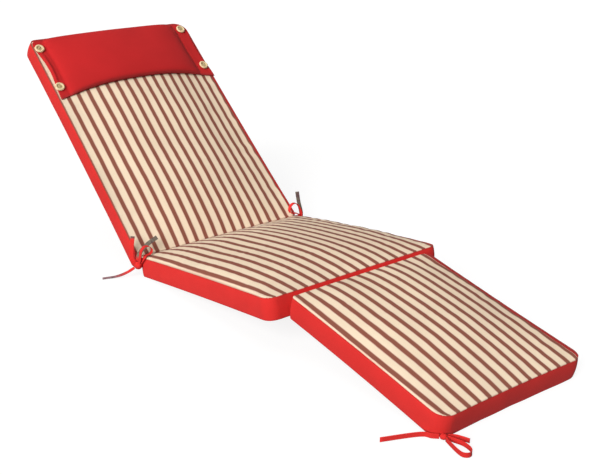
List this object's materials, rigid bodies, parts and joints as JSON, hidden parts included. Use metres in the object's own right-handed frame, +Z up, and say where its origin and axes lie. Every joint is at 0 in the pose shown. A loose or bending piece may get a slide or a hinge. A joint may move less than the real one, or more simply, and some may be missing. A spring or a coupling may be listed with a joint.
{
  "type": "sun lounger cushion",
  "caption": "Folding cushion for a steamer lounger: striped filled panels with plain boxing, a buttoned head pad and tape ties, lying with its back raised.",
  "frame": {"origin": "centre of the overall box's base, on the surface that the cushion lies on", "axes": "+Y along the cushion towards its head end, +Z up, +X across it towards its right side as seen from the foot end"},
  "size_m": [0.6151, 1.6724, 0.5205],
  "materials": {
    "striped_cloth": "woven cotton, cream with red brown stripes along the panels",
    "red_cloth": "plain woven cotton, red",
    "button_wood": "turned pale wood, satin"
  },
  "bodies": {
    "root": {"back_panel": "striped_cloth", "seat_panel": "striped_cloth", "foot_panel": "striped_cloth", "head_pad": "red_cloth", "button_left_low": "button_wood", "button_left_high": "button_wood", "button_right_low": "button_wood", "button_right_high": "button_wood", "left_tie_knot": "red_cloth", "left_tie_upper_end": "red_cloth", "left_tie_floor_end": "red_cloth", "left_tie_leaning_end": "red_cloth", "left_tie_loop": "red_cloth", "right_tie_knot": "red_cloth", "right_tie_upper_end": "red_cloth", "right_tie_loop": "red_cloth", "foot_tie_knot": "red_cloth", "foot_tie_left_end": "red_cloth", "foot_tie_right_end": "red_cloth", "foot_tie_loop": "red_cloth"}
  },
  "joints": []
}
